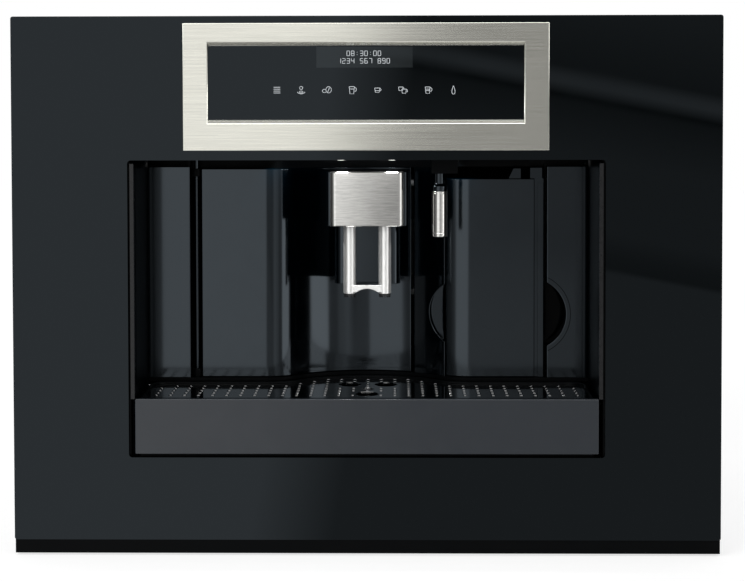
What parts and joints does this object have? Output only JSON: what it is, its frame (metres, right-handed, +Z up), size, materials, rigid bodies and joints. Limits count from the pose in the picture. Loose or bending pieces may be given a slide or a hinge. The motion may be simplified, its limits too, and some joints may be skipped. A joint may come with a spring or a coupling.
{
  "type": "built-in coffee machine",
  "caption": "Built-in bean-to-cup coffee machine on telescopic rails: black glass front, steel-framed touch panel, cup niche with swing door, spout, drip tray and pull-out water tank.",
  "frame": {"origin": "middle of the overall box's footprint, on the cabinet shelf that the base plate stands on", "axes": "+Z up, the glass front faces -Y, +X to the viewer's right"},
  "size_m": [0.597, 0.412, 0.456],
  "materials": {
    "black_glass": "back-painted black glass, polished",
    "window_glass": "dark tinted glass over the display",
    "brushed_steel": "brushed stainless steel, grain along X",
    "spout_steel": "fine brushed stainless steel",
    "polished_steel": "polished stainless steel",
    "zinc_steel": "zinc-plated sheet steel",
    "grey_sheet": "galvanised carcass sheet",
    "gloss_black": "high-gloss black moulding",
    "tray_gloss": "gloss dark grey moulding",
    "satin_black": "satin black moulding",
    "grille_gloss": "gloss black drip grille",
    "trim_grey": "bright grey edge trim",
    "tank_clear": "smoke-grey transparent copolyester",
    "lamp_lens": "frosted lamp lens",
    "bean_smoke": "smoked hopper moulding",
    "works_grey": "dark grey glass-filled nylon",
    "works_black": "black polypropylene",
    "cast_aluminium": "die-cast aluminium",
    "burr_steel": "hardened steel burr",
    "hose_silicone": "translucent white silicone",
    "board_green": "solder-masked circuit board",
    "float_red": "red float moulding"
  },
  "bodies": {
    "mounting_base": {"base_plate": "zinc_steel", "outer_rails": "zinc_steel"},
    "slide_members": {"middle_rails": "zinc_steel"},
    "machine": {"inner_rails": "zinc_steel", "carcass_floor": "grey_sheet", "side_panels": "grey_sheet", "rear_panel": "grey_sheet", "top_cover": "grey_sheet", "mains_inlet": "works_black", "fascia_glass": "black_glass", "fascia_carrier": "satin_black", "lower_strip": "satin_black", "control_surround": "brushed_steel", "display_window": "window_glass", "control_boards": "board_green", "niche_left_wall": "gloss_black", "niche_right_wall": "gloss_black", "centre_jamb": "gloss_black", "niche_ceiling": "satin_black", "tray_housing": "satin_black", "bay_walls": "satin_black", "edge_trims": "trim_grey", "lamp_lenses": "lamp_lens", "hot_water_block": "satin_black", "door_hinge_rod": "polished_steel", "tank_seat": "works_grey", "grinder_housing": "works_grey", "grinder_motor": "zinc_steel", "upper_burr": "burr_steel", "bean_hopper": "bean_smoke", "coffee_funnel": "works_black", "lid_hinges": "zinc_steel", "brew_frame": "works_grey", "grounds_box": "works_grey", "thermoblock": "cast_aluminium", "solenoid_valve": "works_black", "water_pump": "works_black", "power_board": "board_green", "water_hoses": "hose_silicone", "cover_screws": "zinc_steel"},
    "service_door": {"service_door": "gloss_black"},
    "coffee_spout": {"spout_carriage": "satin_black", "spout_cover": "spout_steel", "spout_tubes": "polished_steel", "spout_nozzles": "works_black"},
    "drip_tray": {"drip_tray": "satin_black", "tray_front": "tray_gloss"},
    "cup_grille": {"cup_grille": "grille_gloss"},
    "level_float": {"level_float": "float_red"},
    "water_tank": {"water_tank": "tank_clear", "tank_cover": "gloss_black", "tank_lid": "gloss_black"},
    "hot_water_spout": {"hot_water_spout": "satin_black", "spout_sleeve": "spout_steel"},
    "bean_lid": {"bean_lid": "satin_black"},
    "funnel_lid": {"funnel_lid": "satin_black"},
    "grind_knob": {"grind_knob": "works_black"},
    "burr_rotor": {"lower_burr": "burr_steel"},
    "brew_piston": {"brew_piston": "works_black"},
    "power_switch": {"power_switch": "works_black"}
  },
  "joints": [
    {"name": "rail_members", "type": "slide", "parent": "mounting_base", "child": "slide_members", "axis": [0, -1, 0], "range_m": [0, 0.17]},
    {"name": "machine_pullout", "type": "slide", "parent": "mounting_base", "child": "machine", "axis": [0, -1, 0], "range_m": [0, 0.34]},
    {"name": "door_hinge", "type": "hinge", "parent": "machine", "child": "service_door", "pos_m": [-0.15315, -0.107, 0.2315], "axis": [0, 0, -1], "range_deg": [0, 90]},
    {"name": "spout_height", "type": "slide", "parent": "service_door", "child": "coffee_spout", "axis": [0, 0, 1], "range_m": [-0.028, 0]},
    {"name": "tray_pullout", "type": "slide", "parent": "machine", "child": "drip_tray", "axis": [0, -1, 0], "range_m": [0, 0.12]},
    {"name": "grille_lift", "type": "slide", "parent": "drip_tray", "child": "cup_grille", "axis": [0, 0, -1], "range_m": [-0.03, 0]},
    {"name": "float_rise", "type": "slide", "parent": "drip_tray", "child": "level_float", "axis": [0, 0, 1], "range_m": [0, 0.006]},
    {"name": "tank_pullout", "type": "slide", "parent": "machine", "child": "water_tank", "axis": [0, -1, 0], "range_m": [0, 0.2]},
    {"name": "hot_spout_pull", "type": "slide", "parent": "machine", "child": "hot_water_spout", "axis": [0, 0, -1], "range_m": [0, 0.012]},
    {"name": "bean_lid_hinge", "type": "hinge", "parent": "machine", "child": "bean_lid", "pos_m": [0, 0.188, 0.4473], "axis": [-1, 0, 0], "range_deg": [0, 100]},
    {"name": "funnel_lid_hinge", "type": "hinge", "parent": "machine", "child": "funnel_lid", "pos_m": [-0.02, 0.015, 0.4473], "axis": [-1, 0, 0], "range_deg": [0, 100]},
    {"name": "grind_setting", "type": "hinge", "parent": "machine", "child": "grind_knob", "pos_m": [0, 0.148, 0.42], "axis": [0, 0, 1], "range_deg": [-120, 120]},
    {"name": "burr_spin", "type": "hinge", "parent": "machine", "child": "burr_rotor", "pos_m": [0, 0.148, 0.33], "axis": [0, 0, 1], "continuous": true},
    {"name": "piston_stroke", "type": "slide", "parent": "machine", "child": "brew_piston", "axis": [0, 0, 1], "range_m": [0, 0.03]},
    {"name": "switch_rock", "type": "hinge", "parent": "machine", "child": "power_switch", "pos_m": [-0.178, 0.199, 0.064], "axis": [1, 0, 0], "range_deg": [-8, 8]}
  ],
  "couplings": [
    {"joint": "rail_members", "follows": "machine_pullout", "ratio": 0.5}
  ]
}
